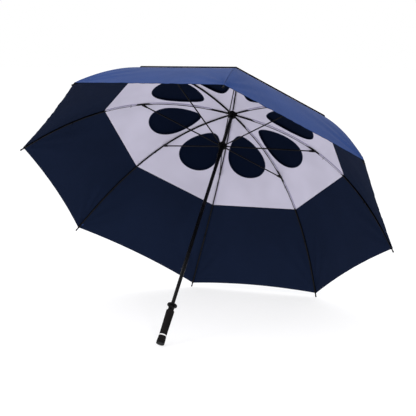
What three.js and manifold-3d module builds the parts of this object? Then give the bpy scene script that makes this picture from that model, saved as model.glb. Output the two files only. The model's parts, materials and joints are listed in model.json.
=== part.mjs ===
// Double-canopy golf umbrella, open and resting on its grip end and two rib tips.
// It is built upright, with z = 0 at the grip end and +z towards the ferrule, and then tilted.
import * as THREE from "three";
import { mergeVertices } from "three/addons/utils/BufferGeometryUtils.js";
import Module from "manifold-3d";

const wasm = await Module();
wasm.setup();

// Driving dimensions, in millimetres and degrees.
const RIB_COUNT = 8;
const RIB_STEP = (2 * Math.PI) / RIB_COUNT;
const HALF_STEP = RIB_STEP / 2;
const FIRST_RIB = THREE.MathUtils.degToRad(22.5);

const TIP_RADIUS = 700;
const RIM_Z = 587;
const CROWN_RISE = 395;
const SQUARE_SHARE = 0.4;
const SHAFT_R = 6.5;
const SHAFT_BORE_R = 5.3;
const SLEEVE_BORE_R = 6.9;

const NOTCH_PIVOT_R = 12;
const NOTCH_R = 15;
const NOTCH_SPAN = [972, 996];
const NOTCH_SLOT_WIDTH = 3.2;
const NOTCH_SLOT_FLOOR = 8.8;

const STRUT_JOINT_R = 338;
const RUNNER_PIVOT_R = 12;
const RUNNER_PIVOT_Z = 835;
const RUNNER_SPAN = [787, 845];
const RUNNER_BODY_R = 9.5;
const RUNNER_CROWN_R = 16.5;
const RUNNER_CROWN_SPAN = [828, 842];
const RUNNER_SLOT_WIDTH = 3;
const RUNNER_SLOT_FLOOR = 9.3;

const RIB_WIDTH = 4;
const RIB_HALF_HEIGHTS = [2.8, 1.6];
const ROOT_TONGUE_WIDTH = 2.4;
const ROOT_TONGUE_END_R = 36;
const KNUCKLE_HALF = 2.2;
const KNUCKLE_WIDTH = 1.6;
const KNUCKLE_CLEAR = 3.6;
const CHEEK_THICKNESS = 0.9;
const TIP_BEAD_R = 3;

const STRUT_WIDTH = 3.4;
const STRUT_HALF = 1.8;
const FORK_GAP = 4.8;
const FORK_THICKNESS = 1;
const FORK_LENGTH = 18;
const STRUT_TONGUE_WIDTH = 2.2;
const STRUT_TONGUE_LENGTH = 26;

const FABRIC_THICKNESS = 1;
const FABRIC_LIFT = 3.4;
const FABRIC_GAP = 0.25;
const VENT_LIFT = 17;
const CROWN_EDGE = 0.028;
const VENT_CROWN_EDGE = 0.0155;
const SEAM_SHARE = 0.658;
const VENT_HEM_SHARE = 0.62;
const TIP_SHARE = 0.985;
const HEM_RISE = 0.03;
const HOLE_SPAN = [136, 334];
const HOLE_HALF_WIDTH = 70;
const HOLE_TAPER = 0.4;

const CAP_R = 14.5;
const CAP_HEIGHT = 4.7;
const COLLAR_Z = 128;
const COLLAR_TOP_Z = 156;
const FLANGE_R = 17.5;
const BUTTON_Z = 137.5;
const BUTTON_AZIMUTH = THREE.MathUtils.degToRad(-75);
const BUTTON_R = 6.2;
const BUTTON_POCKET_R = 6.6;
const BUTTON_POCKET_FLOOR = 8.6;

const ROUND_STEPS = 24;

// Colours and finishes.
function finish(color, roughness, metalness) {
  return new THREE.MeshStandardMaterial({ color, roughness, metalness, side: THREE.FrontSide });
}

const FINISHES = {
  navy: () => finish(0x24365a, 0.75, 0),
  grey: () => finish(0xcfcad8, 0.8, 0),
  frame: () => finish(0x1c1a1a, 0.35, 0.6),
  plastic: () => finish(0x151516, 0.5, 0),
  foam: () => finish(0x2b2a2a, 0.92, 0),
  spring: () => finish(0x8f9296, 0.3, 0.9),
};

// Conversions between three.js geometry and solids that can be joined and cut.
function toSolid(geometry) {
  const bare = geometry.clone();
  bare.deleteAttribute("normal");
  bare.deleteAttribute("uv");
  const merged = mergeVertices(bare, 1e-4);
  const index = merged.index.array;
  const kept = [];
  for (let i = 0; i < index.length; i += 3) {
    const [a, b, c] = [index[i], index[i + 1], index[i + 2]];
    if (a !== b && b !== c && c !== a) {
      kept.push(a, b, c);
    }
  }
  const vertProperties = new Float32Array(merged.attributes.position.array);
  const mesh = new wasm.Mesh({ numProp: 3, vertProperties, triVerts: new Uint32Array(kept) });
  return new wasm.Manifold(mesh);
}

function toGeometry(solid) {
  const mesh = solid.getMesh();
  const geometry = new THREE.BufferGeometry();
  geometry.setAttribute("position", new THREE.BufferAttribute(mesh.vertProperties, 3));
  geometry.setIndex(new THREE.BufferAttribute(mesh.triVerts, 1));
  geometry.computeVertexNormals();
  return geometry;
}

function join(pieces) {
  return toGeometry(pieces.map(toSolid).reduce((whole, piece) => whole.add(piece)));
}

function cut(body, tools) {
  return toGeometry(tools.map(toSolid).reduce((rest, tool) => rest.subtract(tool), toSolid(body)));
}

// Round pieces about the shaft: the profile runs up the outside and down the inside.
function turned(profile, steps = ROUND_STEPS) {
  const points = profile.map(([r, z]) => new THREE.Vector2(r, z));
  return new THREE.LatheGeometry(points, steps).rotateX(Math.PI / 2);
}

function sleeve(boreR, outerR, [low, high], steps = ROUND_STEPS) {
  const profile = [[boreR, low], [outerR, low], [outerR, high], [boreR, high], [boreR, low]];
  return turned(profile, steps);
}

function radialSlots(width, floor, reach, [low, high]) {
  const slots = [];
  for (let k = 0; k < RIB_COUNT; k += 1) {
    const slot = new THREE.BoxGeometry(reach - floor, width, high - low);
    slot.translate((reach + floor) / 2, 0, (low + high) / 2);
    slots.push(slot.rotateZ(FIRST_RIB + k * RIB_STEP));
  }
  return slots;
}

// The rib curve in its own upright plane: height over radius, steepening towards the tip.
function ribHeight(radius) {
  const share = radius / TIP_RADIUS;
  const drop = SQUARE_SHARE * share ** 2 + (1 - SQUARE_SHARE) * share ** 3;
  return RIM_Z + CROWN_RISE * (1 - drop);
}

function ribPoints(fromR, toR, steps) {
  const points = [];
  for (let i = 0; i <= steps; i += 1) {
    const r = fromR + ((toR - fromR) * i) / steps;
    points.push(new THREE.Vector2(r, ribHeight(r)));
  }
  return points;
}

function ribHalfHeight(radius) {
  const share = Math.min(1, radius / TIP_RADIUS);
  return THREE.MathUtils.lerp(RIB_HALF_HEIGHTS[0], RIB_HALF_HEIGHTS[1], share);
}

// A flat bar that follows points in the rib plane; a round end is a half circle about its point.
function bar(points, halfAt, width, { roundStart = false, roundEnd = false, offset = 0 } = {}) {
  const last = points.length - 1;
  const direction = points.map((_, i) =>
    new THREE.Vector2().subVectors(points[Math.min(i + 1, last)], points[Math.max(i - 1, 0)]).normalize());
  const outline = [];
  const side = (i, sign) => {
    const half = halfAt(points[i]);
    const across = new THREE.Vector2(-direction[i].y, direction[i].x);
    outline.push(points[i].clone().addScaledVector(across, sign * half));
  };
  const arc = (i, turn) => {
    const half = halfAt(points[i]);
    const heading = direction[i].angle() + turn;
    for (let step = 1; step < 5; step += 1) {
      const angle = heading - Math.PI / 2 + (Math.PI * step) / 5;
      outline.push(new THREE.Vector2(Math.cos(angle), Math.sin(angle)).multiplyScalar(half).add(points[i]));
    }
  };
  for (let i = 0; i <= last; i += 1) {
    side(i, -1);
  }
  if (roundEnd) {
    arc(last, 0);
  }
  for (let i = last; i >= 0; i -= 1) {
    side(i, 1);
  }
  if (roundStart) {
    arc(0, Math.PI);
  }
  const geometry = new THREE.ExtrudeGeometry(new THREE.Shape(outline), {
    depth: width,
    bevelEnabled: false,
  });
  return geometry.rotateX(Math.PI / 2).translate(0, offset + width / 2, 0);
}

function cheeks(points, half, gap, thickness) {
  const offset = (gap + thickness) / 2;
  return [-offset, offset].map((y) => bar(points, () => half, thickness, { roundStart: true, offset: y }));
}

// Ribs: the inner length turns in the top notch, the outer length on the strut joint.
function innerRibGeometry() {
  const root = bar(ribPoints(NOTCH_PIVOT_R, ROOT_TONGUE_END_R, 3), () => RIB_HALF_HEIGHTS[0],
    ROOT_TONGUE_WIDTH, { roundStart: true });
  const middle = bar(ribPoints(ROOT_TONGUE_END_R - 3, STRUT_JOINT_R - KNUCKLE_CLEAR, 8),
    (point) => ribHalfHeight(point.x), RIB_WIDTH);
  const knuckle = bar(ribPoints(STRUT_JOINT_R - 10, STRUT_JOINT_R, 2), () => KNUCKLE_HALF,
    KNUCKLE_WIDTH, { roundEnd: true });
  return join([root, middle, knuckle]);
}

function outerRibGeometry() {
  const eyes = cheeks(ribPoints(STRUT_JOINT_R, STRUT_JOINT_R + 9, 2), KNUCKLE_HALF,
    RIB_WIDTH - 2 * CHEEK_THICKNESS, CHEEK_THICKNESS);
  const length = bar(ribPoints(STRUT_JOINT_R + KNUCKLE_CLEAR, TIP_RADIUS, 12),
    (point) => ribHalfHeight(point.x), RIB_WIDTH);
  const bead = new THREE.SphereGeometry(TIP_BEAD_R, 12, 8).translate(TIP_RADIUS, 0, RIM_Z);
  return join([length, ...eyes, bead]);
}

// Strut: forked over the rib joint, with a flat tongue in the runner's crown.
function strutGeometry() {
  const outer = new THREE.Vector2(STRUT_JOINT_R, ribHeight(STRUT_JOINT_R));
  const inner = new THREE.Vector2(RUNNER_PIVOT_R, RUNNER_PIVOT_Z);
  const length = outer.distanceTo(inner);
  const at = (distance) => outer.clone().lerp(inner, distance / length);
  const fork = cheeks([at(0), at(FORK_LENGTH)], STRUT_HALF + 0.7, FORK_GAP, FORK_THICKNESS);
  const bridge = bar([at(FORK_LENGTH - 3), at(FORK_LENGTH + 5)], () => STRUT_HALF + 0.7,
    FORK_GAP + 2 * FORK_THICKNESS);
  const rod = bar([at(FORK_LENGTH + 2), at(length - STRUT_TONGUE_LENGTH + 4)], () => STRUT_HALF,
    STRUT_WIDTH);
  const tongue = bar([at(length - STRUT_TONGUE_LENGTH), at(length)], () => KNUCKLE_HALF,
    STRUT_TONGUE_WIDTH, { roundEnd: true });
  return join([rod, bridge, tongue, ...fork]);
}

// Canopy panels, drawn about their own mid-line: x is the distance from the shaft along the
// mid-line, y runs across. Straight lines join equal heights of the two ribs.
function canopyPoint(x, y, lift) {
  const slopeStep = 0.5;
  const height = (distance) => ribHeight(distance / Math.cos(HALF_STEP));
  const rise = (height(x + slopeStep) - height(x - slopeStep)) / (2 * slopeStep);
  const normal = new THREE.Vector2(-rise, 1).normalize();
  const lifted = x + normal.x * lift;
  return new THREE.Vector3(lifted, (y * lifted) / x, height(x) + normal.y * lift);
}

function panelEdge(x) {
  return x * Math.tan(HALF_STEP) - FABRIC_GAP;
}

function midlineX(share) {
  return share * TIP_RADIUS * Math.cos(HALF_STEP);
}

// A closed cloth solid from a grid of (x, y) places: rows along the panel, columns across it.
function clothSolid(grid, lift, { ring = false } = {}) {
  const rows = grid.length;
  const columns = grid[0].length;
  const positions = [];
  for (const height of [lift, lift + FABRIC_THICKNESS]) {
    for (const row of grid) {
      for (const [x, y] of row) {
        positions.push(...canopyPoint(x, y, height).toArray());
      }
    }
  }
  const at = (i, j, top) => top * rows * columns + i * columns + (j % columns);
  const index = [];
  const quad = (a, b, c, d) => index.push(a, b, c, a, c, d);
  const spans = ring ? columns : columns - 1;
  for (let i = 0; i < rows - 1; i += 1) {
    for (let j = 0; j < spans; j += 1) {
      quad(at(i, j, 1), at(i + 1, j, 1), at(i + 1, j + 1, 1), at(i, j + 1, 1));
      quad(at(i, j, 0), at(i, j + 1, 0), at(i + 1, j + 1, 0), at(i + 1, j, 0));
    }
  }
  for (let j = 0; j < spans; j += 1) {
    quad(at(0, j, 0), at(0, j, 1), at(0, j + 1, 1), at(0, j + 1, 0));
    quad(at(rows - 1, j, 0), at(rows - 1, j + 1, 0), at(rows - 1, j + 1, 1), at(rows - 1, j, 1));
  }
  if (!ring) {
    for (let i = 0; i < rows - 1; i += 1) {
      quad(at(i, 0, 0), at(i + 1, 0, 0), at(i + 1, 0, 1), at(i, 0, 1));
      quad(at(i, columns - 1, 0), at(i, columns - 1, 1), at(i + 1, columns - 1, 1), at(i + 1, columns - 1, 0));
    }
  }
  const geometry = new THREE.BufferGeometry();
  geometry.setAttribute("position", new THREE.Float32BufferAttribute(positions, 3));
  geometry.setIndex(index);
  geometry.computeVertexNormals();
  return geometry;
}

function panelGrid(fromX, toXAt, rows, columns) {
  const grid = [];
  for (let i = 0; i <= rows; i += 1) {
    const row = [];
    for (let j = 0; j <= columns; j += 1) {
      const across = (2 * j) / columns - 1;
      const x = THREE.MathUtils.lerp(fromX, toXAt(across), i / rows);
      row.push([x, across * panelEdge(x)]);
    }
    grid.push(row);
  }
  return grid;
}

function outerPanelGeometry() {
  const hem = (across) => midlineX(TIP_SHARE - HEM_RISE * (1 - across ** 2));
  return clothSolid(panelGrid(midlineX(SEAM_SHARE) + FABRIC_GAP, hem, 6, 6), FABRIC_LIFT);
}

function ventPanelGeometry() {
  const hem = () => midlineX(VENT_HEM_SHARE);
  return clothSolid(panelGrid(midlineX(VENT_CROWN_EDGE), hem, 8, 2), VENT_LIFT);
}

// The outline of the wind hole: a teardrop with its narrow end towards the crown.
function holePoint(angle) {
  const middle = (HOLE_SPAN[0] + HOLE_SPAN[1]) / 2;
  const halfLength = (HOLE_SPAN[1] - HOLE_SPAN[0]) / 2;
  const width = HOLE_HALF_WIDTH * (1 + HOLE_TAPER * Math.cos(angle));
  return [middle + halfLength * Math.cos(angle), width * Math.sin(angle)];
}

function panelOutline(fromX, toX, alongSteps, seamSteps) {
  const outline = [];
  for (let i = 0; i < alongSteps; i += 1) {
    const x = THREE.MathUtils.lerp(fromX, toX, i / alongSteps);
    outline.push([x, -panelEdge(x)]);
  }
  for (let j = 0; j < seamSteps; j += 1) {
    outline.push([toX, panelEdge(toX) * ((2 * j) / seamSteps - 1)]);
  }
  for (let i = alongSteps; i >= 0; i -= 1) {
    const x = THREE.MathUtils.lerp(fromX, toX, i / alongSteps);
    outline.push([x, panelEdge(x)]);
  }
  return outline;
}

function innerPanelGeometry() {
  const outline = panelOutline(midlineX(CROWN_EDGE), midlineX(SEAM_SHARE) - FABRIC_GAP, 11, 6);
  const middle = (HOLE_SPAN[0] + HOLE_SPAN[1]) / 2;
  const halfLength = (HOLE_SPAN[1] - HOLE_SPAN[0]) / 2;
  const hole = outline.map(([x, y]) => holePoint(Math.atan2(y / HOLE_HALF_WIDTH, (x - middle) / halfLength)));
  const rings = 3;
  const grid = [];
  for (let i = 0; i <= rings; i += 1) {
    const mix = i / rings;
    grid.push(outline.map(([x, y], j) => [
      THREE.MathUtils.lerp(hole[j][0], x, mix),
      THREE.MathUtils.lerp(hole[j][1], y, mix),
    ]));
  }
  return clothSolid(grid, FABRIC_LIFT, { ring: true });
}

// Centre pieces.
function topNotchGeometry() {
  const ring = sleeve(SLEEVE_BORE_R, NOTCH_R, NOTCH_SPAN);
  const reach = [NOTCH_SPAN[0] - 1, NOTCH_SPAN[1] + 1];
  return cut(ring, radialSlots(NOTCH_SLOT_WIDTH, NOTCH_SLOT_FLOOR, NOTCH_R + 2, reach));
}

function runnerGeometry() {
  const [low, high] = RUNNER_SPAN;
  const [crownLow, crownHigh] = RUNNER_CROWN_SPAN;
  const body = turned([
    [SLEEVE_BORE_R, low], [RUNNER_BODY_R, low], [RUNNER_BODY_R, low + 8],
    [RUNNER_BODY_R - 0.9, low + 12], [RUNNER_BODY_R - 0.9, low + 30], [RUNNER_BODY_R, low + 34],
    [RUNNER_BODY_R, crownLow], [RUNNER_CROWN_R, crownLow], [RUNNER_CROWN_R, crownHigh],
    [RUNNER_BODY_R, crownHigh], [RUNNER_BODY_R, high], [SLEEVE_BORE_R, high], [SLEEVE_BORE_R, low],
  ]);
  const reach = [crownLow - 1, crownHigh + 1];
  return cut(body, radialSlots(RUNNER_SLOT_WIDTH, RUNNER_SLOT_FLOOR, RUNNER_CROWN_R + 2, reach));
}

function ferruleGeometry() {
  return turned([
    [0, 1005], [SLEEVE_BORE_R, 1005], [SLEEVE_BORE_R, 996.4], [8, 996.4], [8, 1010], [6.8, 1014],
    [4.8, 1029], [3.6, 1035], [1.8, 1037.4], [0, 1038],
  ]);
}

function crownCapGeometry() {
  return turned([[8.4, 1000.6], [19, 1000.6], [19, 1001.8], [12, 1004], [8.4, 1004], [8.4, 1000.6]]);
}

function foamGripGeometry() {
  const low = CAP_HEIGHT + 0.3;
  const high = COLLAR_Z - 0.3;
  return turned([
    [SLEEVE_BORE_R, low], [CAP_R, low], [CAP_R - 0.3, low + 8], [12.3, low + 26], [11.5, low + 44],
    [11.9, low + 78], [12.6, low + 106], [13, high - 3], [12.4, high], [SLEEVE_BORE_R, high],
    [SLEEVE_BORE_R, low],
  ]);
}

function endCapGeometry() {
  const stubR = SHAFT_BORE_R - 0.4;
  return turned([[0, 0], [CAP_R, 0], [CAP_R, CAP_HEIGHT], [stubR, CAP_HEIGHT], [stubR, 16], [0, 16]]);
}

// Round pieces that point out of the collar, along +x before they are turned to the button's side.
function radialRound(profile, steps = 20) {
  return turned(profile, steps).rotateY(Math.PI / 2).translate(0, 0, BUTTON_Z);
}

function buttonCollarGeometry() {
  const neckR = 10.5;
  const body = turned([
    [SLEEVE_BORE_R, COLLAR_Z], [neckR, COLLAR_Z], [neckR, 145.5], [FLANGE_R - 1, 146],
    [FLANGE_R, 147.5], [FLANGE_R, 151.5], [FLANGE_R - 1.5, 153], [10, 153.5], [8.6, COLLAR_TOP_Z],
    [SLEEVE_BORE_R, COLLAR_TOP_Z], [SLEEVE_BORE_R, COLLAR_Z],
  ]);
  const boss = radialRound([[0, BUTTON_POCKET_FLOOR - 0.7], [7.8, BUTTON_POCKET_FLOOR - 0.7], [7.8, 13], [0, 13]]);
  const pocket = radialRound([[0, BUTTON_POCKET_FLOOR], [BUTTON_POCKET_R, BUTTON_POCKET_FLOOR],
    [BUTTON_POCKET_R, 20], [0, 20]]);
  return toGeometry(toSolid(body).add(toSolid(boss)).subtract(toSolid(pocket)));
}

function pushButtonGeometry() {
  return radialRound([[0, 10.8], [BUTTON_R, 10.8], [BUTTON_R, 14.2], [BUTTON_R - 1, 15], [0, 15.4]]);
}

function buttonSpringGeometry() {
  return radialRound([[2.6, 8.9], [3.6, 8.9], [3.6, 10.5], [2.6, 10.5], [2.6, 8.9]], 16);
}

// The assembly.
const umbrella = new THREE.Group();

function place(name, geometry, look, azimuth = 0) {
  const mesh = new THREE.Mesh(geometry, FINISHES[look]());
  mesh.name = name;
  mesh.rotation.z = azimuth;
  umbrella.add(mesh);
}

place("shaft_tube", sleeve(SHAFT_BORE_R, SHAFT_R, [CAP_HEIGHT + 0.4, 1004.5]), "frame");
place("top_notch", topNotchGeometry(), "plastic");
place("ferrule", ferruleGeometry(), "plastic");
place("crown_cap", crownCapGeometry(), "plastic");
place("runner", runnerGeometry(), "plastic");
place("main_spring", sleeve(3.9, 4.9, [290, 770], 12), "spring");
place("latch_rod", turned([[0, 120], [2.4, 120], [2.4, 262], [0, 262]], 12), "spring");
place("foam_grip", foamGripGeometry(), "foam");
place("end_cap", endCapGeometry(), "plastic");
place("button_collar", buttonCollarGeometry(), "plastic", BUTTON_AZIMUTH);
place("push_button", pushButtonGeometry(), "plastic", BUTTON_AZIMUTH);
place("button_spring", buttonSpringGeometry(), "spring", BUTTON_AZIMUTH);

const frameShapes = { inner_rib: innerRibGeometry(), outer_rib: outerRibGeometry(), strut: strutGeometry() };
const clothShapes = {
  inner_panel: ["grey", innerPanelGeometry()],
  outer_panel: ["navy", outerPanelGeometry()],
  vent_panel: ["navy", ventPanelGeometry()],
};

for (let k = 0; k < RIB_COUNT; k += 1) {
  const azimuth = FIRST_RIB + k * RIB_STEP;
  for (const [name, shape] of Object.entries(frameShapes)) {
    place(`${name}_${k + 1}`, shape, "frame", azimuth);
  }
  for (const [name, [look, shape]] of Object.entries(clothShapes)) {
    place(`${name}_${k + 1}`, shape, look, azimuth + HALF_STEP);
  }
}

// Tilt it about X until the grip end's rim and two rib tips touch one level floor, then put the
// middle of its footprint on the origin.
const tipReach = TIP_RADIUS * Math.cos(HALF_STEP) - CAP_R;
const tilt = Math.atan2(RIM_Z, tipReach) - Math.asin(TIP_BEAD_R / Math.hypot(RIM_Z, tipReach));
umbrella.rotation.x = -tilt;

const golfUmbrella = new THREE.Group();
golfUmbrella.add(umbrella);
golfUmbrella.updateMatrixWorld(true);
const box = new THREE.Box3().setFromObject(golfUmbrella, true);
const centre = box.getCenter(new THREE.Vector3());
umbrella.position.set(-centre.x, -centre.y, -box.min.z);
golfUmbrella.updateMatrixWorld(true);

export default golfUmbrella;
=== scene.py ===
# Double-canopy golf umbrella: cloth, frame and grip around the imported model.
# Lengths are in metres. Shapes are drawn upright, with z = 0 at the grip end and +z towards the
# ferrule, and are tilted into the row frame as their meshes are made.
import json
import math
import bpy
from mathutils import Matrix, Vector, noise


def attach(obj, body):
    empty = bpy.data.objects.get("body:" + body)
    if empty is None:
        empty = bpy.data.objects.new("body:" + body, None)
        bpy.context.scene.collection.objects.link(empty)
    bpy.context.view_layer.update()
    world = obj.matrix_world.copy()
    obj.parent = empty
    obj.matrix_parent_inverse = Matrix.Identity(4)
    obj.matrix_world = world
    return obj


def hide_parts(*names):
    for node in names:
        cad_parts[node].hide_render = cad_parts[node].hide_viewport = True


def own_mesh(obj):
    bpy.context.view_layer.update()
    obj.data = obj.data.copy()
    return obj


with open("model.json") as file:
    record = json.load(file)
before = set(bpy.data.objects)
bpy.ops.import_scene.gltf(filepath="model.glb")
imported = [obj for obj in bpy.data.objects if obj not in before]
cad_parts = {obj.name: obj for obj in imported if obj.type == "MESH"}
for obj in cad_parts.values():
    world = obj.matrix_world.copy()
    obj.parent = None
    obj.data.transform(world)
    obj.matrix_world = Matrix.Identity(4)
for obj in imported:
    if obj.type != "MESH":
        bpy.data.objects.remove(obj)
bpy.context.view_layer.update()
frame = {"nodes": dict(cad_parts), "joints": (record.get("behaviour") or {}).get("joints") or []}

# The umbrella's driving dimensions.
RIB_COUNT = 8
RIB_STEP = 2 * math.pi / RIB_COUNT
HALF_STEP = RIB_STEP / 2
FIRST_RIB = math.radians(22.5)
TIP_RADIUS = 0.700
RIM_Z = 0.587
CROWN_RISE = 0.395
SQUARE_SHARE = 0.4
NOTCH_PIVOT_R = 0.012
STRUT_JOINT_R = 0.338
RUNNER_PIVOT_Z = 0.835
SEAM_SHARE = 0.658
VENT_HEM_SHARE = 0.662
TIP_SHARE = 0.989
HEM_RISE = 0.010
CROWN_EDGE = 0.028
VENT_CROWN_EDGE = 0.0155
FABRIC_LIFT = 0.0036
VENT_LIFTS = (0.0174, 0.0072)
HOLE_SPAN = (0.134, 0.327)
HOLE_HALF_WIDTH = 0.070
HOLE_TAPER = 0.4
HOLE_SHIFTS = {1: (-0.010, 0.002), 2: (-0.006, 0.005), 3: (0.018, -0.008), 4: (-0.0035, -0.004),
               5: (-0.0085, 0), 8: (0.0065, 0)}
SHAFT_R = 0.0065
CAP_R = 0.0145
CAP_HEIGHT = 0.0047
COLLAR_Z = 0.128
BUTTON_Z = 0.1375
BUTTON_AZIMUTH = math.radians(-75)

# The fine coil behind the button.
COIL_START_R = 0.00895
COIL_LENGTH = 0.0013
COIL_R = 0.0031
COIL_WIRE_R = 0.00018
COIL_TURNS = 4
COIL_STEPS = 24

# Ties along each rib, and the pin at its strut joint.
TIE_SHARES = (0.535, 0.80)
TIE_LOOP_SHIFTS = (-0.0018, 0.0022)
TIE_CORD_R = 0.00055
PIN_HALF_LENGTH = 0.0036
PIN_R = 0.0009

# Cloth.
CLOTH_THICKNESS = 0.0005
HEM_WIDTH = 0.011
GATHER_HEIGHT = 0.0060
GATHER_REACH = 0.085
FLAP_SPANS = ((0.11, 0.45), (0.505, SEAM_SHARE))
FLAP_DEPTH = 0.0062
FLAP_OFFSET = 0.0028
FLAP_EDGES = {4: (), 5: (1, -1)}

# Surroundings and view.
FLOOR_SIZE = 40
FLOOR_Z = -0.0005
FLOOR_COLOR = (0.36, 0.36, 0.37)
FLOOR_GLOW = 0.71
WHITE = (1, 1, 1, 1)
CAMERA_LENS = 103.74
CAMERA_SENSOR = 36
CAMERA_PLACE = (1.6905, -3.9536, 1.0944)
CAMERA_AZIMUTH = math.radians(23.079)
CAMERA_ELEVATION = math.radians(9.017)
CAMERA_ROLL = math.radians(0.536)

JOINTS = {joint["name"]: joint for joint in frame["joints"]}


def rib_height(radius):
    share = radius / TIP_RADIUS
    drop = SQUARE_SHARE * share**2 + (1 - SQUARE_SHARE) * share**3
    return RIM_Z + CROWN_RISE * (1 - drop)


def rib_slope(radius):
    share = radius / TIP_RADIUS
    fall = 2 * SQUARE_SHARE * share + 3 * (1 - SQUARE_SHARE) * share**2
    return -CROWN_RISE * fall / TIP_RADIUS


def upright_matrix():
    """From the upright drawing to the row frame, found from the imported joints."""
    up = -Vector(JOINTS["runner_slide"]["axis"]).normalized()
    hinges = [Vector(JOINTS[f"inner_rib_hinge_{k + 1}"]["pos_m"]) for k in range(RIB_COUNT)]
    hub = sum(hinges, Vector()) / RIB_COUNT
    across = Vector((1, 0, 0))
    matrix = Matrix((across, up.cross(across), up)).transposed().to_4x4()
    matrix.translation = hub - up * rib_height(NOTCH_PIVOT_R)
    return matrix


UPRIGHT = upright_matrix()
SHAFT_BODY = "shaft"


def turned_to(azimuth):
    return UPRIGHT @ Matrix.Rotation(azimuth, 4, "Z")


def smooth_step(low, high, value):
    t = min(1.0, max(0.0, (value - low) / (high - low)))
    return t * t * (3 - 2 * t)


def mix(a, b, t):
    return a + (b - a) * t


# ---------------------------------------------------------------- materials


class Nodes:
    """Short helpers for one material's node tree."""

    def __init__(self, name, color, roughness, metallic=0.0, coordinates="Object"):
        self.material = bpy.data.materials.new(name)
        self.material.use_nodes = True
        self.tree = self.material.node_tree
        self.shader = self.tree.nodes["Principled BSDF"]
        self.shader.inputs["Base Color"].default_value = (*color, 1)
        self.shader.inputs["Roughness"].default_value = roughness
        self.shader.inputs["Metallic"].default_value = metallic
        self.place = self.tree.nodes.new("ShaderNodeTexCoord").outputs[coordinates]

    def link(self, output, target):
        self.tree.links.new(output, target)

    def noise(self, scale, detail=3.0, stretch=(1, 1, 1)):
        mapping = self.tree.nodes.new("ShaderNodeMapping")
        mapping.inputs["Scale"].default_value = stretch
        self.link(self.place, mapping.inputs["Vector"])
        node = self.tree.nodes.new("ShaderNodeTexNoise")
        node.inputs["Scale"].default_value = scale
        node.inputs["Detail"].default_value = detail
        self.link(mapping.outputs["Vector"], node.inputs["Vector"])
        return node.outputs["Fac"]

    def wave(self, axis, period):
        node = self.tree.nodes.new("ShaderNodeTexWave")
        node.bands_direction = axis
        node.inputs["Scale"].default_value = 2 * math.pi / (20 * period)
        self.link(self.place, node.inputs["Vector"])
        return node.outputs["Fac"]

    def math(self, operation, a, b):
        node = self.tree.nodes.new("ShaderNodeMath")
        node.operation = operation
        for socket, value in zip(node.inputs, (a, b)):
            if isinstance(value, (int, float)):
                socket.default_value = value
            else:
                self.link(value, socket)
        return node.outputs[0]

    def ramp(self, factor, low, high, start=0.3, end=0.7):
        node = self.tree.nodes.new("ShaderNodeValToRGB")
        node.color_ramp.elements[0].position = start
        node.color_ramp.elements[1].position = end
        node.color_ramp.elements[0].color = (*low, 1)
        node.color_ramp.elements[1].color = (*high, 1)
        self.link(factor, node.inputs["Fac"])
        return node.outputs["Color"]

    def color(self, output):
        self.link(output, self.shader.inputs["Base Color"])

    def roughness(self, factor, low, high):
        node = self.tree.nodes.new("ShaderNodeMapRange")
        node.inputs["To Min"].default_value = low
        node.inputs["To Max"].default_value = high
        self.link(factor, node.inputs["Value"])
        self.link(node.outputs["Result"], self.shader.inputs["Roughness"])

    def bump(self, height, strength, distance, over=None):
        node = self.tree.nodes.new("ShaderNodeBump")
        node.inputs["Strength"].default_value = strength
        node.inputs["Distance"].default_value = distance
        self.link(height, node.inputs["Height"])
        if over is not None:
            self.link(over, node.inputs["Normal"])
        return node.outputs["Normal"]

    def normal(self, output):
        self.link(output, self.shader.inputs["Normal"])


def shade(color, factor):
    return tuple(min(1.0, channel * factor) for channel in color)


def cloth_material(name, color, roughness, shine, creasing, weave=0.0007):
    """Plain-weave polyester: fine crossed yarns, broad soft creases and a slight colour drift."""
    n = Nodes(name, color, roughness, coordinates="UV")
    n.color(n.ramp(n.noise(7, 2), shade(color, 0.94), shade(color, 1.06)))
    n.roughness(n.noise(60, 4), roughness - 0.05, roughness + 0.05)
    yarns = n.math("MULTIPLY", n.wave("X", weave), n.wave("Y", weave))
    creases = n.bump(n.noise(11, 2, (1, 0.4, 1)), creasing, 0.004)
    n.normal(n.bump(yarns, 0.25, 0.0001, over=creases))
    n.shader.inputs["Specular IOR Level"].default_value = shine
    return n.material


def binding_material(name, color):
    """Ribbed grosgrain tape for bindings and ties."""
    n = Nodes(name, color, 0.7)
    n.color(n.ramp(n.noise(40, 3), shade(color, 0.8), shade(color, 1.25)))
    n.normal(n.bump(n.wave("DIAGONAL", 0.0012), 0.4, 0.0002))
    n.shader.inputs["Specular IOR Level"].default_value = 0.1
    return n.material


def steel_material(name, color, roughness, metallic, fleck_and_glint):
    """Lacquered steel with a faint mottle and flecks of a second colour; the black frame's warm brown
    flecks are painted glints.
    """
    n = Nodes(name, color, roughness, metallic)
    # Noise flecks of the second colour; on the black frame they are painted glints.
    n.color(n.ramp(n.noise(90, 5), color, fleck_and_glint, 0.45, 0.8))
    n.roughness(n.noise(35, 4), roughness - 0.08, roughness + 0.12)
    n.normal(n.bump(n.noise(400, 2), 0.08, 0.0002))
    n.shader.inputs["Specular IOR Level"].default_value = 0.12
    return n.material


def plastic_material(name, color, roughness):
    """Moulded plastic with a fine spark-eroded grain."""
    n = Nodes(name, color, roughness)
    n.color(n.ramp(n.noise(25, 3), shade(color, 0.85), shade(color, 1.2)))
    n.roughness(n.noise(50, 3), roughness - 0.06, roughness + 0.1)
    n.normal(n.bump(n.noise(900, 2), 0.15, 0.0002))
    n.shader.inputs["Specular IOR Level"].default_value = 0.08
    return n.material


def foam_material(name, color):
    """Closed-cell foam: fine open pores over a soft, slightly uneven skin."""
    n = Nodes(name, color, 0.88)
    n.color(n.ramp(n.noise(30, 4), shade(color, 0.75), shade(color, 1.3)))
    skin = n.bump(n.noise(70, 3), 0.2, 0.001)
    n.normal(n.bump(n.noise(1400, 3), 0.5, 0.0004, over=skin))
    n.shader.inputs["Specular IOR Level"].default_value = 0.1
    return n.material


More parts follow.
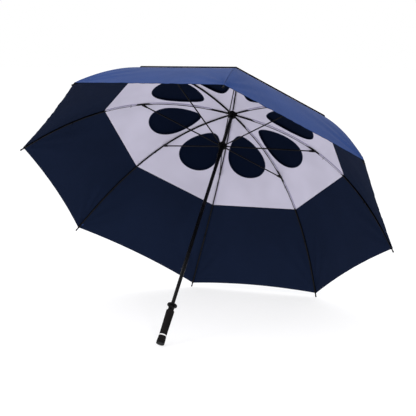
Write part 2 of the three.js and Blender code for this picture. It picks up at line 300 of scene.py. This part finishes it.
NAVY_OUT = cloth_material("navy_outside", (0.020, 0.045, 0.155), 0.6, 0.05, 0.7)
# The inner face is a darker copy of the navy cloth: painted shade of the canopy's hollow.
NAVY_INSIDE_SHADE = cloth_material("navy_inside_painted_shade", (0.0055, 0.0105, 0.029), 0.8, 0.045, 0.3)
# The vent's underside, seen through the wind holes, is painted darker still as shade under the vent.
VENT_INSIDE_SHADE = cloth_material("navy_vent_painted_shade", (0.0018, 0.0045, 0.015), 0.8, 0.03, 0.3)
GREY = cloth_material("grey_cloth", (0.60, 0.575, 0.70), 0.85, 0.1, 0.15)
BINDING = binding_material("black_binding", (0.003, 0.0035, 0.006))
NAVY_BINDING = binding_material("navy_binding", (0.010, 0.017, 0.045))
# The frame's warm brown flecks are painted glints.
FRAME_STEEL = steel_material("black_lacquer", (0.002, 0.0018, 0.0018), 0.4, 0, (0.007, 0.005, 0.004))
SHAFT_STEEL = steel_material("shaft_lacquer", (0.0015, 0.0015, 0.002), 0.25, 0, (0.003, 0.003, 0.004))
PIN_STEEL = steel_material("pin_steel", (0.05, 0.045, 0.04), 0.35, 0.7, (0.1, 0.085, 0.07))
SPRING_STEEL = steel_material("spring_steel", (0.35, 0.35, 0.37), 0.3, 0.95, (0.5, 0.5, 0.52))
PLASTIC = plastic_material("black_plastic", (0.0025, 0.0025, 0.003), 0.42)
BUTTON_PLASTIC = plastic_material("button_plastic", (0.003, 0.003, 0.003), 0.3)
FOAM = foam_material("grip_foam", (0.0062, 0.0052, 0.0052))
PALE_PRINT = plastic_material("pale_band", (0.75, 0.74, 0.73), 0.6)


# ---------------------------------------------------------------- mesh helpers


def add_object(name, vertices, faces, matrix, materials, face_materials=None, uvs=None):
    """A mesh drawn in the frame of matrix, stored in the row frame. uvs gives one pair a vertex."""
    mesh = bpy.data.meshes.new(name)
    mesh.from_pydata([tuple(matrix @ Vector(v)) for v in vertices], [], faces)
    mesh.update()
    if uvs:
        layer = mesh.uv_layers.new(name="cloth")
        for loop in mesh.loops:
            layer.data[loop.index].uv = uvs[loop.vertex_index]
    for material in materials:
        mesh.materials.append(material)
    mesh.polygons.foreach_set("use_smooth", [True] * len(mesh.polygons))
    if face_materials:
        mesh.polygons.foreach_set("material_index", face_materials)
    piece = bpy.data.objects.new(name, mesh)
    bpy.context.scene.collection.objects.link(piece)
    return piece


def settle(piece, body, slot, *nodes):
    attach(piece, body)
    if nodes:
        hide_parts(*nodes)
    return piece


def soften_edges(piece, width, angle=35):
    bevel = piece.modifiers.new("softened edges", "BEVEL")
    bevel.width = width
    bevel.segments = 2
    bevel.limit_method = "ANGLE"
    bevel.angle_limit = math.radians(angle)
    bevel.harden_normals = True
    return piece


def ring_faces(rows, columns, closed_rows=False):
    """Quads over rows of points that each close on themselves."""
    faces = []
    for i in range(rows if closed_rows else rows - 1):
        for j in range(columns):
            a, b = i * columns + j, i * columns + (j + 1) % columns
            c, d = ((i + 1) % rows) * columns + (j + 1) % columns, ((i + 1) % rows) * columns + j
            faces.append((a, b, c, d))
    return faces


def lathe(name, profile, matrix, materials, segments=64):
    """Turns (radius, height) points about z. A point on the axis becomes one vertex."""
    vertices, rows = [], []
    for radius, height in profile:
        if radius < 1e-7:
            rows.append([len(vertices)] * segments)
            vertices.append((0, 0, height))
            continue
        rows.append(list(range(len(vertices), len(vertices) + segments)))
        for j in range(segments):
            angle = 2 * math.pi * j / segments
            vertices.append((radius * math.cos(angle), radius * math.sin(angle), height))
    faces = []
    pairs = list(zip(rows, rows[1:]))
    if profile[0][0] > 1e-7:
        pairs.append((rows[-1], rows[0]))
    for low, high in pairs:
        for j in range(segments):
            k = (j + 1) % segments
            corners = [low[j], low[k], high[k], high[j]]
            face = [c for i, c in enumerate(corners) if c not in corners[:i]]
            if len(face) > 2:
                faces.append(tuple(face))
    return add_object(name, vertices, faces, matrix, materials)


def tube(points, radius_at, segments=10, closed=False, flat=1.0, up=Vector((0, 0, 1))):
    """Vertices and faces of a round tube along points; flat squeezes it along up."""
    vertices = []
    count = len(points)
    for i, point in enumerate(points):
        before = points[i - 1] if closed or i else points[0]
        after = points[(i + 1) % count] if closed or i < count - 1 else points[-1]
        along = (after - before).normalized()
        side = along.cross(up).normalized()
        rise = side.cross(along)
        for j in range(segments):
            angle = 2 * math.pi * j / segments
            reach = side * math.cos(angle) + rise * math.sin(angle) * flat
            vertices.append(point + reach * radius_at(i / (count - 1)))
    faces = ring_faces(count, segments, closed)
    if not closed:
        faces.append(tuple(reversed(range(segments))))
        faces.append(tuple(range((count - 1) * segments, count * segments)))
    return vertices, faces


def joined(parts):
    vertices, faces = [], []
    for more_vertices, more_faces in parts:
        start = len(vertices)
        vertices += list(more_vertices)
        faces += [tuple(start + i for i in face) for face in more_faces]
    return vertices, faces


# ---------------------------------------------------------------- canopy


def panel_edge(x):
    return x * math.tan(HALF_STEP) - 0.00015


def midline_x(share):
    return share * TIP_RADIUS * math.cos(HALF_STEP)


def canopy_point(x, y, lift):
    """A point over the mid-line distance x and the width y, raised by lift along the normal."""
    radius = x / math.cos(HALF_STEP)
    normal = Vector((-rib_slope(radius) / math.cos(HALF_STEP), 1)).normalized()
    lifted = x + normal.x * lift
    return Vector((lifted, y * lifted / x, rib_height(radius) + normal.y * lift))


def cloth(name, grid, lift, relief, extra, azimuth, materials, ring=False):
    """A thin closed sheet from a grid of (x, y) places. relief moves it along its normal, extra
    thickens it where the cloth is folded double. Its first material is the inside."""
    rows, columns = len(grid), len(grid[0])
    vertices, uvs = [], []
    for side in (0, 1):
        for row in grid:
            for x, y in row:
                thickness = CLOTH_THICKNESS + extra(x, y)
                vertices.append(canopy_point(x, y, lift(x) + relief(x, y) + side * thickness))
                uvs.append((y, x + azimuth))
    faces, face_materials = [], []

    def at(i, j, side):
        return side * rows * columns + i * columns + j % columns

    def quad(material, *corners):
        faces.append(corners)
        face_materials.append(material)

    spans = columns if ring else columns - 1
    for i in range(rows - 1):
        for j in range(spans):
            quad(1, at(i, j, 1), at(i + 1, j, 1), at(i + 1, j + 1, 1), at(i, j + 1, 1))
            quad(0, at(i, j, 0), at(i, j + 1, 0), at(i + 1, j + 1, 0), at(i + 1, j, 0))
    last = rows - 1
    for j in range(spans):
        quad(0, at(0, j, 0), at(0, j, 1), at(0, j + 1, 1), at(0, j + 1, 0))
        quad(0, at(last, j, 0), at(last, j + 1, 0), at(last, j + 1, 1), at(last, j, 1))
    if not ring:
        end = columns - 1
        for i in range(rows - 1):
            quad(0, at(i, 0, 0), at(i + 1, 0, 0), at(i + 1, 0, 1), at(i, 0, 1))
            quad(0, at(i, end, 0), at(i, end, 1), at(i + 1, end, 1), at(i + 1, end, 0))
    return add_object(name, vertices, faces, turned_to(azimuth), materials, face_materials, uvs)


def fabric_lift(x):
    return FABRIC_LIFT


def vent_lift(x):
    return mix(VENT_LIFTS[0], VENT_LIFTS[1], x / midline_x(VENT_HEM_SHARE))


def fold(piece):
    """Gives the cloth piece a mesh of its own."""
    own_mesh(piece)


def across_share(x, y):
    return min(1.0, abs(y) / panel_edge(x))


def hem_x(y_share):
    return midline_x(TIP_SHARE - HEM_RISE * (1 - y_share**2))


def edge_fold(x, y, width=0.005, amount=0.0006):
    """Extra thickness of the folded edges that are sewn together over a rib."""
    return amount * smooth_step(width, width * 0.7, panel_edge(x) - abs(y))


def panel_grid(from_x, to_x, rows, columns):
    grid = []
    for t in rows:
        row = []
        for s in columns:
            x = mix(from_x, to_x(s), t)
            row.append((x, s * panel_edge(x)))
        grid.append(row)
    return grid


def spaced(count, ends):
    """0 to 1 in even steps, with closer steps at ends, a list of small shares."""
    inner = [mix(ends[-1], 1 - ends[-1], i / count) for i in range(count + 1)]
    return [0, *ends[:-1], *inner, *(1 - e for e in reversed(ends[:-1])), 1]


def signed(shares):
    return [2 * s - 1 for s in shares]


def hole_place(k):
    """The middle and half length of a panel's wind hole, moved by the panel's own shift."""
    along, across = HOLE_SHIFTS.get(k, (0, 0))
    return (sum(HOLE_SPAN) / 2 + along, across), (HOLE_SPAN[1] - HOLE_SPAN[0]) / 2


def hole_point(k, angle):
    middle, half_length = hole_place(k)
    width = HOLE_HALF_WIDTH * (1 + HOLE_TAPER * math.cos(angle))
    return middle[0] + half_length * math.cos(angle), middle[1] + width * math.sin(angle)


def inner_relief(seed):
    start, end = midline_x(CROWN_EDGE), midline_x(SEAM_SHARE)

    def relief(x, y):
        slack = 1 - across_share(x, y) ** 2
        along = math.sin(math.pi * min(1.0, max(0.0, (x - start) / (end - start))))
        drift = noise.noise(Vector((x * 13, y * 13, seed)))
        return -0.0015 * slack * along + 0.0012 * drift * slack * along

    return relief


def inner_panel(k, azimuth):
    start, end = midline_x(CROWN_EDGE), midline_x(SEAM_SHARE) - 0.0001
    along, seam = 26, 24
    outline = [(mix(start, end, i / along), -1) for i in range(along)]
    outline += [(end, 2 * j / seam - 1) for j in range(seam)]
    outline += [(mix(end, start, i / along), 1) for i in range(along + 1)]
    outline += [(start, s) for s in (0.4, -0.4)]
    outline = [(x, s * panel_edge(x)) for x, s in outline]
    middle, half_length = hole_place(k)
    angles = [math.atan2((y - middle[1]) / HOLE_HALF_WIDTH, (x - middle[0]) / half_length)
              for x, y in outline]
    hole = [hole_point(k, angle) for angle in angles]
    grid = []
    for t in (0, 0.02, 0.06, 0.12, 0.22, 0.34, 0.46, 0.58, 0.7, 0.8, 0.88, 0.93, 0.96, 0.98, 1):
        grid.append([(mix(h[0], o[0], t), mix(h[1], o[1], t)) for h, o in zip(hole, outline)])

    def extra(x, y):
        seam_fold = 0.0005 * smooth_step(0.009, 0.006, end - x)
        return max(edge_fold(x, y), seam_fold)

    relief = inner_relief(k * 3.1)
    piece = cloth(f"inner_cloth_{k}", grid, fabric_lift, relief, extra, azimuth, [GREY, GREY], ring=True)
    settle(piece, f"inner_canopy_{k}", "grey_fabric", f"inner_panel_{k}")

    rim = []
    for i in range(96):
        x, y = hole_point(k, 2 * math.pi * i / 96)
        rim.append(canopy_point(x, y, FABRIC_LIFT + relief(x, y) + CLOTH_THICKNESS / 2))
    vertices, faces = tube(rim, lambda t: 0.0017, 8, closed=True, flat=0.6)
    binding = add_object(f"wind_hole_binding_{k}", vertices, faces, turned_to(azimuth), [NAVY_BINDING])
    settle(binding, f"inner_canopy_{k}", "navy_fabric")
    parts = [piece, binding]
    if FLAP_EDGES.get(k, (1,)):
        parts.append(seam_flap(k, azimuth))
    for part in parts:
        fold(part)


def seam_flap(k, azimuth):
    """The seam's raw edges hang inside along one side of the rib, clear of the strut joint."""
    parts = []
    spans = [(edge, *span) for edge in FLAP_EDGES.get(k, (1,)) for span in FLAP_SPANS]
    for edge, start, end in spans:
        vertices, steps = [], 30
        for i in range(steps + 1):
            x = midline_x(mix(start, end, i / steps))
            ripple = 0.0012 * noise.noise(Vector((x * 40, k * 5.1, 0)))
            depth = FLAP_DEPTH * smooth_step(-0.02, 0.06, min(i, steps - i) / steps)
            y = panel_edge(x) - FLAP_OFFSET
            for lift, shift in ((0, 0), (depth, ripple), (depth, ripple - 0.0005), (0, -0.0005)):
                vertices.append(canopy_point(x, edge * (y + shift), FABRIC_LIFT - 0.0002 - lift))
        faces = ring_faces(steps + 1, 4)
        faces += [(3, 2, 1, 0), tuple(range(steps * 4, steps * 4 + 4))]
        parts.append((vertices, [face[::edge] for face in faces]))
    vertices, faces = joined(parts)
    uvs = [(v.y, v.x + v.z) for v in vertices]
    flap = add_object(f"seam_flap_{k}", vertices, faces, turned_to(azimuth), [GREY], uvs=uvs)
    return settle(flap, f"inner_canopy_{k}", "grey_fabric")


def tip_gathers(x, y, seed):
    """Creases that fan out from the rib tips."""
    tip_x = midline_x(TIP_SHARE)
    corner_y = math.copysign(panel_edge(tip_x), y)
    dx, dy = tip_x - x, abs(corner_y - y)
    distance = math.hypot(dx, dy)
    if distance < 1e-6:
        return 0.0
    fan = math.atan2(dy, dx)
    rib_side = HALF_STEP
    share = min(1.0, max(0.0, (fan - rib_side * 0.9) / 1.05))
    waves = math.sin(share * 19 + seed) * math.sin(math.pi * share)
    return GATHER_HEIGHT * waves * math.exp(-distance / GATHER_REACH) * smooth_step(0.0, 0.03, distance)


def outer_relief(seed):
    start = midline_x(SEAM_SHARE)

    def relief(x, y):
        share = across_share(x, y)
        slack = 1 - share**2
        end = hem_x(min(1.0, share))
        t = min(1.0, max(0.0, (x - start) / (end - start)))
        belly = -0.004 * slack * math.sin(math.pi * min(1.0, t * 0.8))
        hem_distance = max(0.0, end - x)
        flutter = 0.0022 * noise.noise(Vector((y * 45, x * 12, seed))) * slack
        flutter *= math.exp(-hem_distance / 0.03)
        drift = 0.0022 * noise.noise(Vector((x * 9, y * 9, seed))) * slack * math.sin(math.pi * t)
        return belly + flutter + drift + tip_gathers(x, y, seed)

    return relief


def outer_panel(k, azimuth):
    start = midline_x(SEAM_SHARE) + 0.0001
    rows = spaced(30, [0.012, 0.03, 0.05, 0.075])
    columns = signed(spaced(52, [0.004, 0.010, 0.02]))
    grid = panel_grid(start, hem_x, rows, columns)

    def extra(x, y):
        hem_distance = hem_x(across_share(x, y)) - x
        hem = 0.0006 * smooth_step(HEM_WIDTH, HEM_WIDTH * 0.85, hem_distance)
        return max(edge_fold(x, y) * smooth_step(0.007, 0.012, x - start), hem)

    relief = outer_relief(k * 2.3)
    # The inside face takes the navy painted darker as shade.
    piece = cloth(f"outer_cloth_{k}", grid, fabric_lift, relief, extra, azimuth, [NAVY_INSIDE_SHADE, NAVY_OUT])
    settle(piece, f"outer_canopy_{k}", "navy_fabric", f"outer_panel_{k}")
    fold(piece)


def vent_relief(seed):
    start, end = midline_x(VENT_CROWN_EDGE), midline_x(VENT_HEM_SHARE)

    def relief(x, y):
        slack = 1 - across_share(x, y) ** 2
        t = min(1.0, max(0.0, (x - start) / (end - start)))
        drift = 0.0016 * noise.noise(Vector((x * 11, y * 11, seed))) * slack * t
        return -0.004 * slack * math.sin(math.pi * min(1.0, t)) + drift * (1 - t)

    return relief


def vent_panel(k, azimuth):
    start, end = midline_x(VENT_CROWN_EDGE), midline_x(VENT_HEM_SHARE)
    grid = panel_grid(start, lambda s: end, spaced(30, [0.01, 0.025]), signed(spaced(28, [0.01, 0.025])))
    relief = vent_relief(k * 1.7)
    # The vent's underside takes the navy painted darkest, as shade under the vent.
    piece = cloth(f"vent_cloth_{k}", grid, vent_lift, relief, edge_fold, azimuth, [VENT_INSIDE_SHADE, NAVY_OUT])
    settle(piece, f"inner_canopy_{k}", "navy_fabric", f"vent_panel_{k}")

    vertices, faces = [], []
    section = [(-0.007, 0.0018), (0.0008, 0.0020), (0.0022, 0.0008), (0.0010, -0.0002), (-0.007, -0.0003)]
    columns = signed([j / 40 for j in range(41)])
    for s in columns:
        y = s * panel_edge(end)
        for dx, rise in section:
            x = end + dx
            vertices.append(canopy_point(x, y * x / end, vent_lift(end) + relief(end, y) + rise))
    sides = len(section)
    faces = [tuple(reversed(face)) for face in ring_faces(len(columns), sides)]
    faces += [tuple(range(sides)), tuple(reversed(range(len(vertices) - sides, len(vertices))))]
    binding = add_object(f"vent_hem_binding_{k}", vertices, faces, turned_to(azimuth), [BINDING])
    settle(binding, f"inner_canopy_{k}", "navy_fabric")
    fold(piece)
    fold(binding)


# ---------------------------------------------------------------- frame


def rib_point(radius, lift=0.0):
    slope = rib_slope(radius)
    normal = Vector((-slope, 0, 1)).normalized()
    return Vector((radius, 0, rib_height(radius))) + normal * lift


def tie(k, azimuth, number, radius):
    """A short cloth loop that holds the canopy's seam to the rib."""
    along = Vector((1, 0, rib_slope(radius))).normalized()
    up = Vector((-along.z, 0, along.x))
    side = Vector((0, 1, 0))
    centre = rib_point(radius, 0.0008)
    parts = []
    for shift in TIE_LOOP_SHIFTS:
        loop = []
        for j in range(20):
            angle = 2 * math.pi * j / 20
            across = math.copysign(abs(math.cos(angle)) ** 0.6, math.cos(angle)) * 0.0030
            rise = math.copysign(abs(math.sin(angle)) ** 0.6, math.sin(angle)) * 0.0034
            loop.append(centre + side * across + up * rise + along * shift * (1 + 0.2 * math.sin(angle)))
        parts.append(tube(loop, lambda t: TIE_CORD_R, 6, closed=True, up=along))
    tail = [centre - up * (0.0036 + 0.002 * i) + along * 0.0012 * i for i in range(4)]
    parts.append(tube(tail, lambda t: 0.0012 - 0.0005 * t, 8, up=side))
    vertices, faces = joined(parts)
    piece = add_object(f"cloth_tie_{k}_{number}", vertices, faces, turned_to(azimuth), [BINDING])
    settle(piece, f"outer_rib_{k}", "black_plastic")


def tip_cap(k, azimuth):
    """The moulded cap on a rib's end, with the cloth's corner caught in its collar."""
    heading = math.atan(rib_slope(TIP_RADIUS))
    turn = Matrix.Rotation(math.pi / 2 - heading, 4, "Y")
    place = Matrix.Translation(rib_point(TIP_RADIUS))
    profile = [(0, -0.0170), (0.0026, -0.0170), (0.0031, -0.0160), (0.0031, -0.0125), (0.0025, -0.0115),
               (0.0024, -0.0045), (0.0029, -0.0020), (0.0030, 0.0002), (0.0024, 0.0019), (0.0013, 0.0028),
               (0, 0.0030)]
    piece = lathe(f"rib_tip_cap_{k}", profile, turned_to(azimuth) @ place @ turn, [PLASTIC], 24)
    settle(piece, f"outer_rib_{k}", "black_plastic")


def pin(name, centre, half_length, radius, azimuth, body):
    """A riveted pin across the rib's plane, with domed heads."""
    profile = [(0, -half_length - 0.0006), (radius * 1.2, -half_length - 0.0004)]
    profile += [(radius * 1.7, -half_length), (radius * 1.7, -half_length + 0.0003)]
    profile += [(radius, -half_length + 0.0003)]
    profile += [(r, -z) for r, z in reversed(profile)]
    matrix = turned_to(azimuth) @ Matrix.Translation(centre) @ Matrix.Rotation(math.pi / 2, 4, "X")
    settle(lathe(name, profile, matrix, [PIN_STEEL], 20), body, "spring_steel")


def wire_ring(name, radius, height, body):
    """The wire that strings the flat ends together in their slots."""
    points = [Vector((radius * math.cos(a), radius * math.sin(a), height))
              for a in (2 * math.pi * j / 48 for j in range(48))]
    vertices, faces = tube(points, lambda t: 0.0006, 8, closed=True)
    settle(add_object(name, vertices, faces, UPRIGHT, [PIN_STEEL]), body, "spring_steel")


def finish_cad_steel():
    for name, node in frame["nodes"].items():
        if name.startswith(("inner_rib", "outer_rib", "strut")):
            repaint(node, FRAME_STEEL, 0.0005)
    for name in ("runner", "top_notch"):
        repaint(frame["nodes"][name], PLASTIC, 0.0005)
    for name in ("main_spring", "latch_rod"):
        repaint(frame["nodes"][name], SPRING_STEEL, 0.0002)


def compress_button_spring():
    """The coil behind the button, built in one fixed shape in place of the button_spring node."""
    points = []
    for i in range(COIL_TURNS * COIL_STEPS + 1):
        angle = 2 * math.pi * i / COIL_STEPS
        reach = COIL_START_R + COIL_WIRE_R + COIL_LENGTH * i / (COIL_TURNS * COIL_STEPS)
        points.append(Vector((reach, COIL_R * math.cos(angle), BUTTON_Z + COIL_R * math.sin(angle))))
    vertices, faces = tube(points, lambda t: COIL_WIRE_R, 8, up=Vector((1, 0, 0)))
    coil = add_object("button_coil", vertices, faces, turned_to(BUTTON_AZIMUTH), [SPRING_STEEL])
    settle(coil, SHAFT_BODY, "spring_steel", "button_spring")
    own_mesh(coil)


def repaint(node, material, bevel):
    node.data.materials.clear()
    node.data.materials.append(material)
    weld = node.modifiers.new("weld", "WELD")
    weld.merge_threshold = 0.00001
    soften_edges(node, bevel)


# ---------------------------------------------------------------- shaft, collar and grip


def rounded(profile, radius, steps=4):
    """The profile with each inner corner replaced by a short curve."""
    result = [profile[0]]
    for before, corner, after in zip(profile, profile[1:], profile[2:]):
        a, c, b = Vector(before), Vector(corner), Vector(after)
        reach = min(radius, (a - c).length * 0.45, (b - c).length * 0.45)
        start, end = c + (a - c).normalized() * reach, c + (b - c).normalized() * reach
        for i in range(steps + 1):
            t = i / steps
            result.append(tuple(start * (1 - t) ** 2 + c * 2 * t * (1 - t) + end * t**2))
    return [*result, profile[-1]]


def shaft():
    low, high = 0.0051, 1.0045
    bore = 0.0053
    wall = [(bore, low), (SHAFT_R, low), (SHAFT_R, high), (bore, high), (bore, low + 0.0001)]
    profile = rounded(wall, 0.0003)
    settle(lathe("shaft", profile, UPRIGHT, [SHAFT_STEEL]), SHAFT_BODY, "black_frame", "shaft_tube")


def crown():
    ferrule = rounded([(0, 1.005), (0.0069, 1.005), (0.0069, 0.9964), (0.008, 0.9964), (0.008, 1.0075),
                       (0.0072, 1.0085), (0.0072, 1.0105), (0.0078, 1.0115), (0.0066, 1.0150),
                       (0.0048, 1.029), (0.0036, 1.035), (0.0018, 1.0374), (0, 1.038)], 0.0006)
    settle(lathe("ferrule_spike", ferrule, UPRIGHT, [PLASTIC], 48), SHAFT_BODY, "black_plastic", "ferrule")
    cap = rounded([(0.0084, 1.0006), (0.019, 1.0006), (0.019, 1.0018), (0.0150, 1.0028), (0.0120, 1.0034),
                   (0.0110, 1.0042), (0.0084, 1.0042), (0.0084, 1.0010)], 0.0005)
    settle(lathe("crown_rosette", cap, UPRIGHT, [PLASTIC], 48), SHAFT_BODY, "black_plastic", "crown_cap")


def grip():
    low, high = CAP_HEIGHT + 0.0003, COLLAR_Z - 0.0003
    bore = 0.0069
    outline = [(bore, low), (CAP_R - 0.0004, low), (CAP_R, low + 0.002), (0.0142, low + 0.008),
               (0.0138, low + 0.015), (0.0135, low + 0.022), (0.0132, low + 0.029), (0.0131, low + 0.036),
               (0.0132, low + 0.054), (0.0134, low + 0.068), (0.0136, low + 0.082), (0.0138, low + 0.095),
               (0.0140, low + 0.108), (0.0142, high - 0.003), (0.0140, high - 0.001), (0.0132, high),
               (bore, high), (bore, low + 0.0005)]
    profile = rounded(outline, 0.0012)
    piece = lathe("foam_handle", profile, UPRIGHT, [FOAM], 72)
    settle(piece, SHAFT_BODY, "foam", "foam_grip")
    band_low, band_high = low + 0.0235, low + 0.0275
    band = rounded([(0.0128, band_low), (0.01375, band_low), (0.01360, band_high), (0.0128, band_high),
                    (0.0128, band_low + 0.0002)], 0.0004)
    settle(lathe("grip_band", band, UPRIGHT, [PALE_PRINT], 72), SHAFT_BODY, "black_plastic")
    cap = rounded([(0, 0), (CAP_R - 0.0001, 0.00005), (CAP_R, CAP_HEIGHT), (0.0049, CAP_HEIGHT),
                   (0.0049, 0.016), (0, 0.016)], 0.0006)
    settle(lathe("grip_end_cap", cap, UPRIGHT, [PLASTIC], 72), SHAFT_BODY, "black_plastic", "end_cap")


def collar():
    repaint(frame["nodes"]["button_collar"], PLASTIC, 0.0004)
    place = turned_to(BUTTON_AZIMUTH) @ Matrix.Translation((0, 0, BUTTON_Z))
    outward = place @ Matrix.Rotation(math.pi / 2, 4, "Y")
    button = rounded([(0, 0.0108), (0.0062, 0.0108), (0.0062, 0.0143), (0.0052, 0.0152), (0.0044, 0.0150),
                      (0.0020, 0.0147), (0, 0.0146)], 0.0005)
    piece = lathe("round_button", button, outward, [BUTTON_PLASTIC], 48)
    settle(piece, "button", "black_plastic", "push_button")


# ---------------------------------------------------------------- stage


def stage():
    floor_material = Nodes("pale_floor", FLOOR_COLOR, 0.95)
    floor_material.shader.inputs["Specular IOR Level"].default_value = 0
    floor_material.shader.inputs["Emission Color"].default_value = WHITE
    floor_material.shader.inputs["Emission Strength"].default_value = FLOOR_GLOW
    bpy.ops.mesh.primitive_plane_add(size=FLOOR_SIZE, location=(0, 0, FLOOR_Z))
    floor = bpy.context.object
    floor.name = "floor"
    floor.data.materials.append(floor_material.material)
    world = bpy.data.worlds.new("studio")
    world.use_nodes = True
    world.node_tree.nodes["Background"].inputs["Color"].default_value = WHITE
    world.node_tree.nodes["Background"].inputs["Strength"].default_value = 1.0
    bpy.context.scene.world = world
    bpy.context.scene.view_settings.view_transform = "Standard"


def area_light(name, location, target, size, power):
    light = bpy.data.lights.new(name, "AREA")
    light.size = size
    light.energy = power
    piece = bpy.data.objects.new(name, light)
    bpy.context.scene.collection.objects.link(piece)
    piece.location = location
    piece.rotation_euler = (Vector(target) - Vector(location)).to_track_quat("-Z", "Y").to_euler()


def camera():
    level_share = math.cos(CAMERA_ELEVATION)
    ahead = Vector((-math.sin(CAMERA_AZIMUTH) * level_share, math.cos(CAMERA_AZIMUTH) * level_share,
                    -math.sin(CAMERA_ELEVATION)))
    data = bpy.data.cameras.new("camera")
    data.lens = CAMERA_LENS
    data.sensor_width = CAMERA_SENSOR
    eye = bpy.data.objects.new("camera", data)
    bpy.context.scene.collection.objects.link(eye)
    level = ahead.to_track_quat("-Z", "Y").to_matrix().to_4x4()
    eye.matrix_world = Matrix.Translation(CAMERA_PLACE) @ level @ Matrix.Rotation(-CAMERA_ROLL, 4, "Z")
    bpy.context.scene.camera = eye


camera()
stage()
area_light("top_softbox", (-1.2, -0.6, 3.0), (0, 0, 0.5), 2.2, 30)
area_light("front_right", (2.8, -3.2, 2.6), (0, 0, 0.3), 0.7, 55)
area_light("front_left", (-2.6, -3.6, 2.2), (0, 0, 0.3), 0.7, 25)

for number in range(1, RIB_COUNT + 1):
    rib_azimuth = FIRST_RIB + (number - 1) * RIB_STEP
    panel_azimuth = rib_azimuth + HALF_STEP
    inner_panel(number, panel_azimuth)
    outer_panel(number, panel_azimuth)
    vent_panel(number, panel_azimuth)
    for place, share in enumerate(TIE_SHARES):
        tie(number, rib_azimuth, place + 1, share * TIP_RADIUS)
    tip_cap(number, rib_azimuth)
    joint = rib_point(STRUT_JOINT_R)
    pin(f"rib_joint_pin_{number}", joint, PIN_HALF_LENGTH, PIN_R, rib_azimuth, f"inner_rib_{number}")

wire_ring("notch_wire", NOTCH_PIVOT_R, rib_height(NOTCH_PIVOT_R), SHAFT_BODY)
wire_ring("runner_wire", NOTCH_PIVOT_R, RUNNER_PIVOT_Z, "runner")
finish_cad_steel()
compress_button_spring()
shaft()
crown()
grip()
collar()
